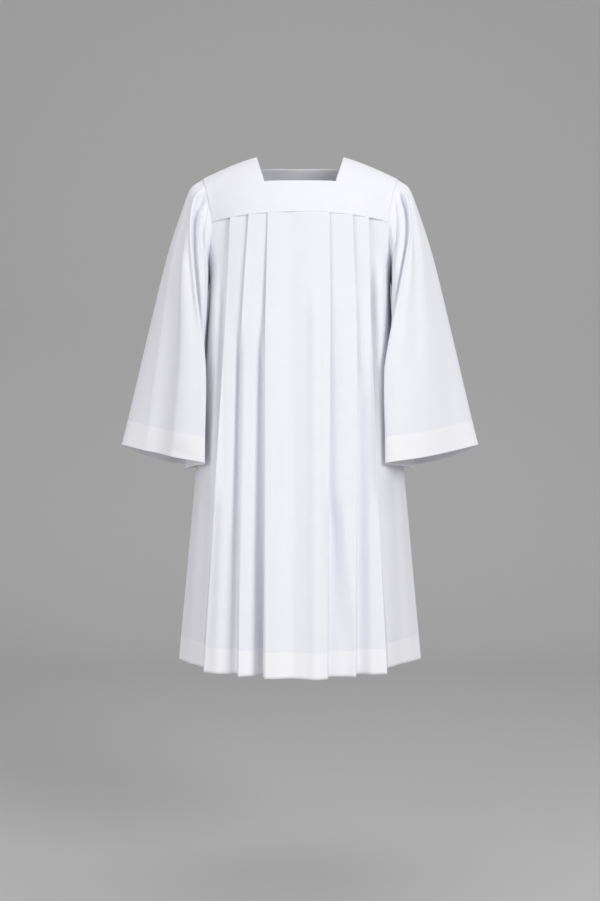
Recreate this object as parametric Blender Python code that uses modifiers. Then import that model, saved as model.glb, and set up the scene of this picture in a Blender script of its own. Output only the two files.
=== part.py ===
"""Surplice: a white church vestment, worn, standing open and hollow on no wearer.

Metres, +Z up, the front towards -Y and the viewer's right at +X. The origin lies between
the two neck ends of the shoulder seams, where the wearer's shoulders hold the garment up.
Every piece of cloth is a grid laid through the garment's sections and given its wall.
"""
import math

import bmesh
import bpy
from mathutils import Vector

# ---- driving sizes -------------------------------------------------------------------
CLOTH = 0.0012          # wall of one layer of cloth
HEM_CLOTH = 0.0010      # wall of the turned-up layer
LAYER = 0.0017          # from one pressed layer of a pleat to the next
SEAM = 0.0003           # clear gap between two pieces at a seam
BEHIND = CLOTH + 2 * SEAM           # from a layer to the turned-up layer behind it
MITRE = 0.20            # least share of a corner's spacing that its true one may be
ROLL = 0.0011           # half round of a pressed fold at the yoke
ROLL_HEM = 0.0045       # half round of the same fold at the hem
OPENED = 0.004          # how far a pleat's step leans open at the hem
PANEL_MIDDLE = 0.55     # share of a panel between two pleats where it has a column

HEM_Z = -1.036          # lower edge of the body
HEM_DEPTH = 0.048       # turned-up hem of the body
SEAM_Z = -0.135         # yoke seam at the centre
SEAM_DROP = 0.013       # how much lower the yoke seam lies at the armhole
YOKE_END_X = 0.178      # where the yoke seam meets the armhole
UNDERARM_Z = -0.245
ARMHOLE_ROUND = (0.85, 1.15)        # shape of the armhole's lower half, depth and height

# Body sections, seen from above: half width, depth before and behind, roundness
#          height  half_width  front  back   roundness
BODY = (
    (-0.135,  0.2040,     0.125, 0.113, 2.50),
    (-0.245,  0.1860,     0.137, 0.124, 2.75),
    (-0.390,  0.1935,     0.154, 0.141, 2.95),
    (-0.630,  0.2136,     0.184, 0.172, 2.60),
    (-0.800,  0.2285,     0.213, 0.203, 2.25),
    (-1.036,  0.2500,     0.252, 0.248, 2.00),
)

# Knife pleats from the centre outwards. Where the folded edge runs at the yoke, at the
# middle and at the hem, how deep the step beside it is at the hem, and its underlay.
#             yoke    middle  hem     step   underlay
FRONT_LEFT = (
    (0.0640, 0.0690, 0.0680, 0.052, 0.022),
    (0.1020, 0.1165, 0.1180, 0.032, 0.020),
    (0.1390, 0.1505, 0.1870, 0.058, 0.017),
)
FRONT_RIGHT = (
    (0.0590, 0.0595, 0.0515, 0.029, 0.020),
    (0.1046, 0.1120, 0.1055, 0.037, 0.020),
    (0.1370, 0.1410, 0.1680, 0.070, 0.017),
)
BACK_LEFT = (
    (0.0610, 0.0640, 0.0590, 0.040, 0.021),
    (0.1030, 0.1120, 0.1160, 0.046, 0.020),
    (0.1380, 0.1480, 0.1790, 0.050, 0.017),
)
BACK_RIGHT = (
    (0.0650, 0.0670, 0.0700, 0.034, 0.021),
    (0.1010, 0.1130, 0.1240, 0.052, 0.020),
    (0.1380, 0.1500, 0.1830, 0.046, 0.017),
)
MIDDLE_Z = -0.39        # height of the column "middle" above

# Soft valley down the centre panel: where it runs, then its half width and its depth, each
# at the yoke and at the hem
VALLEY_X = -0.020
VALLEY_HALF = (0.019, 0.028)
VALLEY_DEPTH = (0.0020, 0.0120)

# Yoke rows from the shoulder seam to the yoke seam: the neck edge, the armhole edge, and
# the depth and height on the centre line, which the neck opening leaves out above its corner
#    neck x   neck y   neck z    arm x    arm y    arm z   centre y centre z
FRONT_YOKE = (
    (0.0895,  0.0000,  0.0000, 0.2014,  0.0000, -0.0455,  0.0000,  0.0130),
    (0.0856, -0.0300, -0.0160, 0.1965, -0.0290, -0.0620, -0.0310, -0.0060),
    (0.0792, -0.0585, -0.0395, 0.1895, -0.0500, -0.0870, -0.0610, -0.0330),
    (0.0720, -0.0815, -0.0660, 0.1838, -0.0640, -0.1130, -0.0850, -0.0650),
    (0.0725, -0.1060, -0.1000, 0.1800, -0.0710, -0.1310, -0.1100, -0.0990),
)
BACK_YOKE = (
    (0.0895,  0.0000,  0.0000, 0.2014,  0.0000, -0.0455,  0.0000,  0.0130),
    (0.0870,  0.0200, -0.0030, 0.1965,  0.0260, -0.0610,  0.0200,  0.0060),
    (0.0845,  0.0380, -0.0080, 0.1895,  0.0470, -0.0850,  0.0390, -0.0010),
    (0.0820,  0.0540, -0.0150, 0.1838,  0.0620, -0.1110,  0.0570, -0.0130),
    (0.0780,  0.0890, -0.0700, 0.1800,  0.0700, -0.1310,  0.0950, -0.0690),
)
CORNER_ROW = 3          # the row that ends the neck opening
YOKE_NECK_X = 0.073     # where the neck column meets the yoke seam

# Sleeve rings, one row each below the armhole to the cuff. The first point lies under the
# arm against the body, the next four run round the front, then the outer edge, and the
# last four come back round behind. The "fold" is the edge of the bell that hangs from the
# gathered head, and the "hollow" is the slack that falls back behind it to the armhole.
# x from the garment's centre, y, z:
#      under                     hollow                       fold
#      face                      side                         outer edge
#      side behind               face behind                  fold behind
#      hollow behind
SLEEVE = (
    ((0.1915, 0.000, -0.2760), (0.1890, -0.0800, -0.1960), (0.2130, -0.0610, -0.1080),
     (0.2190, -0.044, -0.0890), (0.2230, -0.0230, -0.0730), (0.2245, 0.0000, -0.0655),
     (0.2230, 0.024, -0.0730), (0.2190, 0.0440, -0.0890), (0.2120, 0.0610, -0.1080),
     (0.1920, 0.0760, -0.1980)),
    ((0.1945, 0.000, -0.3090), (0.1860, -0.0860, -0.2500), (0.2180, -0.0840, -0.1750),
     (0.2300, -0.068, -0.1480), (0.2395, -0.0340, -0.1210), (0.2430, 0.0000, -0.1100),
     (0.2395, 0.036, -0.1210), (0.2300, 0.0700, -0.1490), (0.2160, 0.0860, -0.1780),
     (0.1940, 0.0800, -0.2450)),
    ((0.2030, 0.000, -0.3800), (0.1870, -0.0900, -0.3330), (0.2070, -0.1080, -0.2900),
     (0.2370, -0.093, -0.2560), (0.2630, -0.0460, -0.2230), (0.2745, 0.0000, -0.2080),
     (0.2640, 0.050, -0.2280), (0.2380, 0.0980, -0.2660), (0.2060, 0.1130, -0.3020),
     (0.1965, 0.0800, -0.3430)),
    ((0.2170, 0.000, -0.4900), (0.1970, -0.0860, -0.4550), (0.1885, -0.1200, -0.4400),
     (0.2380, -0.106, -0.4150), (0.2850, -0.0570, -0.3790), (0.3100, 0.0000, -0.3520),
     (0.2870, 0.062, -0.3890), (0.2430, 0.1130, -0.4330), (0.1990, 0.1260, -0.4600),
     (0.2050, 0.0800, -0.4670)),
    ((0.2330, 0.000, -0.5930), (0.2100, -0.0780, -0.5850), (0.1888, -0.1220, -0.5790),
     (0.2490, -0.105, -0.5690), (0.3070, -0.0590, -0.5550), (0.3555, 0.0000, -0.5440),
     (0.3110, 0.064, -0.5700), (0.2560, 0.1140, -0.5830), (0.2030, 0.1330, -0.5850),
     (0.2160, 0.0780, -0.5890)),
    ((0.2370, 0.000, -0.6440), (0.2150, -0.0760, -0.6370), (0.1888, -0.1220, -0.6310),
     (0.2530, -0.104, -0.6190), (0.3140, -0.0580, -0.6060), (0.3686, 0.0000, -0.5950),
     (0.3180, 0.064, -0.6210), (0.2600, 0.1150, -0.6340), (0.2050, 0.1350, -0.6370),
     (0.2195, 0.0780, -0.6410)),
)
# The right sleeve's front hangs nearer the middle: how far its hollow, fold and face move
#              point  inwards  forwards
RIGHT_FRONT = ((1,     0.008,   0.004),
               (2,     0.021,   0.012),
               (3,     0.006,   0.010))
RIGHT_FROM = 2                  # ring below which the front starts to move
RIGHT_FULL = 4                  # and the ring from which it has moved all the way
CUFF_RINGS = (5.0, 6.0)         # rings at the top and the bottom of the cuff's hem
# Where the points of a ring start on the armhole: 0 is the underarm, 1 the yoke's end and
# 6 the shoulder, so that most of the sleeve's width is gathered into its top
HEAD_RUN = (0.0, 1.0, 4.55, 5.0, 5.55, 6.0, 5.55, 5.0, 4.55, 1.0)
SLEEVE_OUT = 0.0021             # from the armhole's line to the sleeve's first ring

WHITE = (0.87, 0.87, 0.90)
HEM_WHITE = (0.91, 0.91, 0.93)


# ---- small helpers ----------------------------------------------------------------------
def mix(a, b, t):
    return a + (b - a) * t


def mix_point(a, b, t):
    return tuple(mix(p, q, t) for p, q in zip(a, b))


def along(keys, values, at):
    """Smooth reading of a table: a cubic through the rows, with the slopes of its chords."""
    step = 1 if keys[-1] > keys[0] else -1
    last = len(keys) - 2
    k = 0
    while k < last and step * at > step * keys[k + 1]:
        k += 1
    width = keys[k + 1] - keys[k]
    t = min(1.0, max(0.0, (at - keys[k]) / width))
    chord = (values[k + 1] - values[k]) / width
    before = (values[k] - values[k - 1]) / (keys[k] - keys[k - 1]) if k > 0 else chord
    after = (values[k + 2] - values[k + 1]) / (keys[k + 2] - keys[k + 1]) if k < last else chord
    start = 0.5 * (before + chord) * width
    end = 0.5 * (chord + after) * width
    return ((2 * t**3 - 3 * t**2 + 1) * values[k] + (t**3 - 2 * t**2 + t) * start
            + (3 * t**2 - 2 * t**3) * values[k + 1] + (t**3 - t**2) * end)


BODY_KEYS = [row[0] for row in BODY]
BODY_COLUMNS = [[row[c] for row in BODY] for c in range(1, 5)]


def section(z, back):
    """Half width, depth and roundness of the body at one height."""
    z = min(BODY_KEYS[0], max(BODY_KEYS[-1], z))
    width, front, behind, power = (along(BODY_KEYS, column, z) for column in BODY_COLUMNS)
    return width, behind if back else front, power


def depth_at(x, z, back):
    """How far the body stands out from the side seams' plane at x."""
    width, depth, power = section(z, back)
    return depth * max(0.0, 1 - (abs(x) / width) ** power) ** (1 / power)


def width_at(y, z, back):
    width, depth, power = section(z, back)
    return width * max(0.0, 1 - (abs(y) / depth) ** power) ** (1 / power)


def openness(z):
    """0 at the yoke, where the pleats are pressed flat, to 1 at the hem."""
    return min(1.0, max(0.0, (SEAM_Z - z) / (SEAM_Z - HEM_Z)))


# ---- the body's pleated section -----------------------------------------------------------
def fold_x(fold, z):
    return along((SEAM_Z, MIDDLE_Z, HEM_Z), fold[:3], z)


def unit(v):
    size = math.hypot(*v)
    return (v[0] / size, v[1] / size)


def add(p, v, distance):
    return (p[0] + v[0] * distance, p[1] + v[1] * distance)


def half_section(folds, z, back):
    """Plan points of one half of a pleated panel, x outwards and y as depth, from the
    centre panel's edge to the last underlay. Three points turn each fold."""
    w = openness(z)
    roll = mix(ROLL, ROLL_HEM, w)
    points = []
    start = (0.0, depth_at(0.0, z, back))
    for k, (_, _, _, step, underlay) in enumerate(folds):
        x = fold_x(folds[k], z)
        edge = (x, depth_at(x, z, back))
        under = (edge[0], edge[1] - LAYER)
        inner = (x + mix(-underlay * (1 - w) ** 0.5, OPENED, w), under[1] - mix(LAYER, step, w))
        after = (inner[0], inner[1] - LAYER)
        panel = unit((edge[0] - start[0], edge[1] - start[1]))
        fall = unit((inner[0] - under[0], inner[1] - under[1]))
        if k > 0:
            points.append(mix_point(start, edge, PANEL_MIDDLE))
        points.append(add(edge, panel, -roll))
        points.append(mix_point(edge, under, 0.5))
        points.append(add(under, fall, roll))
        following = folds[k + 1] if k + 1 < len(folds) else None
        if following:
            next_x = fold_x(following, z)
            target = (next_x, depth_at(next_x, z, back))
        else:
            target = side_point(SIDE_STEPS[0], z, back, after)
        leave = unit((target[0] - after[0], target[1] - after[1]))
        points.append(add(inner, fall, -roll))
        points.append(mix_point(inner, after, 0.5))
        points.append(add(after, leave, roll))
        start = after
    return points, start


# Columns from the last pleat to the side seam, as shares of the way
SIDE_STEPS = (0.18, 0.36, 0.573, 0.787, 1.0)
YOKE_END_STEP = 0.36        # the column under the yoke's end
SIDE_START_X = 0.142        # where the side columns leave the last pleat at the yoke
SIDE_SWELL = 0.002          # how far the hem swells out between the last pleat and the side
SIDE_FALL = 1.25            # how soon below the armhole the side hangs flat


def armhole(share, back):
    """Front or back half of the armhole's lower edge: depth and height, from the yoke's
    end at 0 to the underarm at 1."""
    turn = share * math.pi / 2
    reach = depth_at(YOKE_END_X, SEAM_Z, back)
    low = SEAM_Z - SEAM_DROP
    depth = reach * math.cos(turn) ** ARMHOLE_ROUND[0]
    return depth, mix(low, UNDERARM_Z, math.sin(turn) ** ARMHOLE_ROUND[1])


def seam_z(x):
    return SEAM_Z - SEAM_DROP * (abs(x) / YOKE_END_X) ** 2


def side_top(share, back):
    """Where a side column starts, on the yoke seam or the armhole: x, depth, height."""
    if share <= YOKE_END_STEP:
        x = mix(SIDE_START_X, YOKE_END_X, share / YOKE_END_STEP)
        return x, depth_at(x, SEAM_Z, back), seam_z(x)
    depth, z = armhole((share - YOKE_END_STEP) / (1 - YOKE_END_STEP), back)
    return width_at(depth, z, back), depth, z


def side_point(share, z, back, after):
    """A point between the last pleat and the side seam: on the body's round section where
    its column starts, and on a flatter line from the pleat to the side lower down."""
    width, depth, power = section(z, back)
    top_x, top_depth, top_z = side_top(share, back)
    fallen = min(1.0, max(0.0, (top_z - z) / (top_z - HEM_Z)))
    fallen = 1 - (1 - fallen) ** SIDE_FALL
    top_power = section(top_z, back)[2]
    top_turn = math.atan2((top_x / section(top_z, back)[0]) ** (top_power / 2),
                          (top_depth / section(top_z, back)[1]) ** (top_power / 2))
    turn = mix(top_turn, math.pi / 2, fallen * share)
    near = max(0.0, 1 - share / YOKE_END_STEP)
    round_x = width * math.sin(turn) ** (2 / power)
    round_y = depth * max(0.0, math.cos(turn)) ** (2 / power)
    round_y -= (depth_at(after[0], z, back) - after[1]) * near
    reach = (width - after[0], -after[1])
    swell = SIDE_SWELL * math.sin(math.pi * share) / math.hypot(*reach)
    flat_x = after[0] + reach[0] * share - reach[1] * swell
    flat_y = after[1] + reach[1] * share + reach[0] * swell
    return mix(round_x, flat_x, fallen), mix(round_y, flat_y, fallen)


CENTRE_STEPS = (-0.85, -0.6, -0.3, 0.0, 0.4, 0.8)


def panel_section(left, right, z, back):
    """The whole panel in plan at one height, from the left side seam to the right one."""
    halves = []
    for folds in (left, right):
        points, after = half_section(folds, z, back)
        points += [side_point(share, z, back, after) for share in SIDE_STEPS]
        halves.append(points)
    w = openness(z)
    half = mix(*VALLEY_HALF, w)
    dip = mix(*VALLEY_DEPTH, w)
    centre = []
    edges = (halves[0][0][0], halves[1][0][0])
    for step in CENTRE_STEPS:
        x = step * edges[0] if step < 0 else step * edges[1]
        y = depth_at(x, z, back) - dip * math.exp(-((x - VALLEY_X) / half) ** 2)
        centre.append((x, y))
    plan = [(-x, y) for x, y in reversed(halves[0])] + centre + halves[1]
    return [(x, y if back else -y) for x, y in plan]


def column_tops(left, right, back):
    """Height where each column of a panel starts."""
    plan = panel_section(left, right, SEAM_Z, back)
    tops = [seam_z(x) for x, _ in plan]
    for k, share in enumerate(reversed(SIDE_STEPS)):
        height = side_top(share, back)[2]
        tops[k] = height
        tops[-1 - k] = height
    return [top - SEAM - CLOTH * 0.5 for top in tops]


# ---- cloth ----------------------------------------------------------------------------------
def cloth(name, places, slot, closed=False, hole=None, wall=CLOTH):
    """A grid of cloth through rows of places, with its wall. hole leaves out the faces
    whose row and column it accepts, and closed joins the last column to the first."""
    rows = len(places)
    columns = len(places[0])
    bm = bmesh.new()
    bmesh.ops.create_grid(bm, x_segments=columns - 1, y_segments=rows - 1, size=1.0)
    order = sorted(bm.verts, key=lambda v: (-round(v.co.y, 5), round(v.co.x, 5)))
    cell = {}
    for index, vert in enumerate(order):
        cell[vert] = divmod(index, columns)
    if hole:
        gone = [f for f in bm.faces
                if hole(min(cell[v][0] for v in f.verts), min(cell[v][1] for v in f.verts))]
        bmesh.ops.delete(bm, geom=gone, context="FACES")
    for vert in bm.verts:
        row, column = cell[vert]
        vert.co = Vector(places[row][column])
    if closed:
        bmesh.ops.remove_doubles(bm, verts=bm.verts, dist=0.00001)
    bmesh.ops.recalc_face_normals(bm, faces=bm.faces)
    mesh = bpy.data.meshes.new(name)
    bm.to_mesh(mesh)
    bm.free()
    mesh.shade_smooth()
    piece = bpy.data.objects.new(name, mesh)
    garment.objects.link(piece)
    mesh.materials.append(slot)
    shell = piece.modifiers.new("Wall", "SOLIDIFY")
    shell.thickness = wall
    shell.offset = 0.0
    shell.use_even_offset = True
    return piece


def second_layer(places, distance, closed=False):
    """The same cloth moved over by a distance at right angles to its own surface."""
    rows = len(places)
    columns = len(places[0])
    points = [[Vector(place) for place in row] for row in places]

    def face_normal(row, column):
        if closed:
            column %= columns - 1
        if not (0 <= row < rows - 1 and 0 <= column < columns - 1):
            return None
        across = points[row][column + 1] - points[row][column]
        across += points[row + 1][column + 1] - points[row + 1][column]
        down = points[row + 1][column] - points[row][column]
        down += points[row + 1][column + 1] - points[row][column + 1]
        return across.cross(down).normalized()

    moved = []
    for r in range(rows):
        line = []
        for c in range(columns):
            around = [face_normal(r + dr, c + dc) for dr in (-1, 0) for dc in (-1, 0)]
            around = [n for n in around if n is not None]
            way = sum(around, Vector()).normalized()
            spread = max(MITRE, min(way.dot(n) for n in around))
            line.append(points[r][c] + way * (distance / spread))
        moved.append(line)
    return moved


# ---- pieces -----------------------------------------------------------------------------------
PANEL_ROWS = (0.0, 0.035, 0.09, 0.17, 0.28, 0.42, 0.58, 0.78, 1.0)


def seam_lift(back):
    """How far the front or the back stands off the plane of the side and shoulder seams."""
    return (SEAM + CLOTH) * (0.5 if back else -0.5)


def panel(name, left, right, back):
    tops = column_tops(left, right, back)
    levels = [[mix(top, HEM_Z + HEM_DEPTH, share) for top in tops] for share in PANEL_ROWS]
    levels.append([HEM_Z] * len(tops))
    places = []
    for heights in levels:
        row = [(*panel_section(left, right, z, back)[k], z) for k, z in enumerate(heights)]
        for k in (0, -1):
            x, y, z = row[k]
            row[k] = (x, y + seam_lift(back), z)
        places.append(row)
    cloth(name, places, white)


def body_hem(name, left, right, back):
    places = []
    for z in (HEM_Z + HEM_DEPTH, HEM_Z):
        places.append([(x, y, z) for x, y in panel_section(left, right, z, back)])
    places = second_layer(places, BEHIND if back else -BEHIND)
    for row in places:
        for k in (0, -1):
            row[k].y = seam_lift(back)
    cloth(name, places, hem_white, wall=HEM_CLOTH)


YOKE_STRAP = (0.0, 0.25, 0.5, 0.75)              # columns from the armhole to the neck
YOKE_BAND = (-1.0, -0.7, -0.35, 0.0, 0.35, 0.7, 1.0)     # columns between the neck's corners


def even_curve(x, centre, first_x, first, second_x, second):
    """A curve level on the centre line that passes through two more points."""
    p = (first - centre) / first_x**2
    q = (second - centre) / second_x**2
    bend = (q - p) / (second_x**2 - first_x**2)
    return centre + x * x * (p + bend * (x * x - first_x**2))


def yoke_row(row, x):
    """A point of the yoke on one of its rows."""
    neck_x, neck_y, neck_z, arm_x, arm_y, arm_z, centre_y, centre_z = row
    return (x, even_curve(x, centre_y, neck_x, neck_y, arm_x, arm_y),
            even_curve(x, centre_z, neck_x, neck_z, arm_x, arm_z))


def yoke(name, rows, back):
    places = []
    for k, row in enumerate(rows):
        reach = [mix(row[3], row[0], share) for share in YOKE_STRAP]
        columns = [-x for x in reach] + [row[0] * share for share in YOKE_BAND] + reach[::-1]
        line = [yoke_row(row, x) for x in columns]
        if k == 0:
            line = [(x, y + seam_lift(back), z) for x, y, z in line]
        places.append(line)
    reach = [mix(YOKE_END_X, YOKE_NECK_X, share) for share in YOKE_STRAP]
    columns = [-x for x in reach] + [YOKE_NECK_X * share for share in YOKE_BAND] + reach[::-1]
    places.append([(x, depth_at(x, SEAM_Z, back) * (1 if back else -1), seam_z(x))
                   for x in columns])
    first = len(YOKE_STRAP)
    last = first + len(YOKE_BAND) - 1
    cloth(name, places, white, hole=lambda r, c: r < CORNER_ROW and first <= c < last)


RING_STEPS = 3          # columns between two points of a sleeve ring
SLEEVE_ROWS = (0.0, 0.5, 1.0, 1.5, 2.0, 2.5, 3.0, 3.5, 4.0, 5.0, 6.0)


def armhole_point(run, back):
    """A point of the armhole, from the underarm at 0, past the yoke's end at 1, to the
    shoulder at 6."""
    way = 1 if back else -1
    if run <= 1:
        depth, z = armhole(1 - run, back)
        return width_at(depth, z, back), depth * way, z
    rows = (BACK_YOKE if back else FRONT_YOKE)[::-1]
    end = (YOKE_END_X, depth_at(YOKE_END_X, SEAM_Z, back) * way, SEAM_Z - SEAM_DROP)
    places = [end] + [row[3:6] for row in rows]
    keys = list(range(1, len(places) + 1))
    return tuple(along(keys, [place[axis] for place in places], run) for axis in range(3))


def first_ring(steps):
    """The armhole as a sleeve ring of so many columns between two points."""
    count = len(HEAD_RUN)
    ring = []
    for column in range(count * steps):
        point, step = divmod(column, steps)
        run = mix(HEAD_RUN[point], HEAD_RUN[(point + 1) % count], step / steps)
        ring.append(armhole_point(run, column > count * steps // 2))
    return ring


def ring_at(row, side):
    """The points of a sleeve ring between the armhole at 0 and the table's rings."""
    rings = [first_ring(1)] + list(SLEEVE)
    keys = list(range(len(rings)))
    ring = []
    for point in range(len(HEAD_RUN)):
        ring.append([along(keys, [rings[k][point][axis] for k in keys], row)
                     for axis in range(3)])
    if side > 0:
        share = min(1.0, max(0.0, (row - RIGHT_FROM) / (RIGHT_FULL - RIGHT_FROM)))
        for point, inwards, forwards in RIGHT_FRONT:
            ring[point][0] -= inwards * share
            ring[point][1] -= forwards * share
    return ring


def round_ring(points):
    """A closed smooth curve through a ring's points."""
    count = len(points)
    curve = []
    for k in range(count):
        p = [points[(k + d) % count] for d in (-1, 0, 1, 2)]
        for step in range(RING_STEPS):
            t = step / RING_STEPS
            curve.append([0.5 * (2 * b + (c - a) * t + (2 * a - 5 * b + 4 * c - d) * t * t
                                 + (3 * b - a - 3 * c + d) * t**3)
                          for a, b, c, d in zip(*p)])
    return curve


def sleeve_places(side, rows):
    armhole_ring = first_ring(RING_STEPS)
    start = round_ring(ring_at(0, side))
    places = []
    for row in rows:
        hold = max(0.0, 1 - row)
        ring = []
        for place, seam, smooth in zip(round_ring(ring_at(row, side)), armhole_ring, start):
            x, y, z = (p + (q - r) * hold**2 for p, q, r in zip(place, seam, smooth))
            ring.append((side * (x + SLEEVE_OUT * hold), y, z))
        places.append(ring + ring[:1])
    return places


def sleeve(name, side):
    cloth(name, sleeve_places(side, SLEEVE_ROWS), white, closed=True)


def cuff_hem(name, side):
    places = second_layer(sleeve_places(side, CUFF_RINGS), side * BEHIND, closed=True)
    cloth(name, places, hem_white, closed=True, wall=HEM_CLOTH)


# ---- build ------------------------------------------------------------------------------------
def material(name, colour):
    made = bpy.data.materials.new(name)
    made.use_nodes = True
    shader = made.node_tree.nodes["Principled BSDF"]
    shader.inputs["Base Color"].default_value = (*colour, 1.0)
    shader.inputs["Roughness"].default_value = 0.85
    shader.inputs["Metallic"].default_value = 0.0
    return made


for old in list(bpy.data.objects):
    bpy.data.objects.remove(old, do_unlink=True)
garment = bpy.data.collections.new("Surplice")
bpy.context.scene.collection.children.link(garment)
white = material("white_poly_cotton", WHITE)
hem_white = material("white_hem_cloth", HEM_WHITE)

yoke("front_yoke", FRONT_YOKE, False)
yoke("back_yoke", BACK_YOKE, True)
panel("front_panel", FRONT_LEFT, FRONT_RIGHT, False)
panel("back_panel", BACK_LEFT, BACK_RIGHT, True)
body_hem("front_hem", FRONT_LEFT, FRONT_RIGHT, False)
body_hem("back_hem", BACK_LEFT, BACK_RIGHT, True)
for word, way in (("left", -1), ("right", 1)):
    sleeve("sleeve_" + word, way)
    cuff_hem("cuff_" + word, way)
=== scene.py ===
"""Surplice: white polyester-cotton, worn shape, open and hollow, hung from no wearer."""
import math
import bmesh
import bpy
import numpy as np
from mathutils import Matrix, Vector


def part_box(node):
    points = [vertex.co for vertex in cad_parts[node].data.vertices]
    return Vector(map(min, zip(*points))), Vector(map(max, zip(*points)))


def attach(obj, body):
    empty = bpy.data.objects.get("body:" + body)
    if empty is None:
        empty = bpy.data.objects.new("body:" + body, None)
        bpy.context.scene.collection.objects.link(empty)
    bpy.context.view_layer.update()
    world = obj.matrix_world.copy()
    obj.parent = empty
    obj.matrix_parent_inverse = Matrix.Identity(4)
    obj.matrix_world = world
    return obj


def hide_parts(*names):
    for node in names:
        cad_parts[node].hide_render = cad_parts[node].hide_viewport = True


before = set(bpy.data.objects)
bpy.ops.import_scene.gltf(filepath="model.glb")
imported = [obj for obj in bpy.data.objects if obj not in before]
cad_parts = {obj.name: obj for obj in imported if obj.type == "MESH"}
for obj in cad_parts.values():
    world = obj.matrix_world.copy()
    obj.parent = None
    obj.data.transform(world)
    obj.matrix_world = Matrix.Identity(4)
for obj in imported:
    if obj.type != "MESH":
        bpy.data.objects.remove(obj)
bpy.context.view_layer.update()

# ---- sizes, in metres ------------------------------------------------------------------
# The front is towards -Y, and the origin lies between the neck ends of the shoulder seams.
CLOTH = 0.0004          # wall of the fine cloth
LAYER = 0.0005          # from one pressed layer of a pleat to the next
ROLL = 0.0007           # half round of a pressed fold at the yoke
ROLL_HEM = 0.0042       # half round of the same fold at the hem
HEM_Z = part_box("front_panel")[0].z
HEM_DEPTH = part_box("front_hem")[1].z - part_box("front_hem")[0].z
SEAM_Z = -0.135         # yoke seam at the centre
SEAM_DROP = 0.013       # how much lower the yoke seam lies at the armhole
YOKE_END_X = 0.178      # where the yoke seam meets the armhole
UNDERARM_Z = -0.245
ARMHOLE_ROUND = (0.85, 1.15)    # how full the armhole's lower half is, in depth and in height
MIDDLE_Z = -0.39
CUFF_SHARE = 5.0        # ring of the sleeve table where the cuff's hem starts
TUCK = 0.0030           # how far the pleats run up behind the yoke
TUCK_DEPTH = 0.0006     # and how far behind it they lie
MERGE = 0.000001        # points nearer than this are one
TINY = 1e-9             # least length to divide by

# Body sections, seen from above
#          height  half_width  front  back   roundness
BODY = (
    (-0.135,  0.2040,     0.125, 0.113, 2.50),
    (-0.245,  0.1860,     0.137, 0.124, 2.75),
    (-0.390,  0.1935,     0.154, 0.141, 2.95),
    (-0.630,  0.2136,     0.184, 0.172, 2.60),
    (-0.800,  0.2285,     0.213, 0.203, 2.25),
    (-1.036,  0.2500,     0.252, 0.248, 2.00),
)

# Knife pleats from the centre outwards: where the folded edge runs at the yoke, the middle
# and the hem, the step beside it at the hem, its underlay, and how much the panel beyond
# the step swells
#             yoke    middle  hem     step   underlay  swell
FRONT_LEFT = (
    (0.0640, 0.0690, 0.0680, 0.052, 0.022, 0.0000),
    (0.1020, 0.1165, 0.1180, 0.032, 0.020, 0.0075),
    (0.1390, 0.1505, 0.1870, 0.058, 0.017, 0.0080),
)
FRONT_RIGHT = (
    (0.0590, 0.0595, 0.0515, 0.029, 0.020, 0.0000),
    (0.1046, 0.1120, 0.1055, 0.037, 0.020, 0.0040),
    (0.1370, 0.1410, 0.1680, 0.070, 0.017, 0.0045),
)
BACK_LEFT = (
    (0.0610, 0.0640, 0.0590, 0.040, 0.021, 0.0000),
    (0.1030, 0.1120, 0.1160, 0.046, 0.020, 0.0040),
    (0.1380, 0.1480, 0.1790, 0.050, 0.017, 0.0035),
)
BACK_RIGHT = (
    (0.0650, 0.0670, 0.0700, 0.034, 0.021, 0.0000),
    (0.1010, 0.1130, 0.1240, 0.052, 0.020, 0.0045),
    (0.1380, 0.1500, 0.1830, 0.046, 0.017, 0.0030),
)
VALLEY_X = -0.020                   # centre panel's soft valley
VALLEY_HALF = (0.022, 0.030)        # its half width at the yoke and the hem
VALLEY_DEPTH = (0.0032, 0.0150)     # and its depth

# Soft troughs (+) and ridges (-) placed on a panel: x and height where each starts and
# ends, its half width there, and its depth
#              x0      z0      x1      z1     wide0  wide1  depth
FRONT_CREASES = (
    (0.0600, -0.660,  0.0860, -1.036, 0.020, 0.030,  0.0120),
    ( 0.0860, -0.300,  0.0830, -0.900, 0.019, 0.024, -0.0022),
    ( 0.1240, -0.420,  0.1200, -1.036, 0.013, 0.021,  0.0050),
    ( 0.1260, -0.170,  0.1280, -0.380, 0.016, 0.019,  0.0018),
    ( 0.0900, -0.160,  0.0840, -0.330, 0.016, 0.021,  0.0015),
    (-0.0250, -0.500, -0.0400, -1.036, 0.019, 0.029, -0.0030),
    ( 0.0290, -0.250,  0.0310, -1.036, 0.018, 0.022, -0.0050),
    (-0.0920, -0.450, -0.0980, -1.036, 0.014, 0.022,  0.0035),
    (-0.1300, -0.300, -0.1420, -1.036, 0.014, 0.024,  0.0030),
    (-0.0775, -0.340, -0.0770, -1.036, 0.010, 0.013,  0.0090),
    (-0.1190, -0.340, -0.1250, -1.036, 0.009, 0.011,  0.0095),
    (-0.1650, -0.230, -0.2080, -1.000, 0.013, 0.019,  0.0060),
    (-0.1780, -0.330, -0.2260, -1.036, 0.013, 0.021, -0.0045),
    ( 0.1760, -0.400,  0.2060, -1.036, 0.016, 0.024,  0.0050),
    ( 0.1900, -0.520,  0.2250, -1.000, 0.014, 0.019, -0.0030),
    ( 0.1620, -0.200,  0.1660, -0.740, 0.022, 0.036, -0.0220),
    (-0.1710, -0.220, -0.1820, -0.740, 0.018, 0.034, -0.0200),
)
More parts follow.
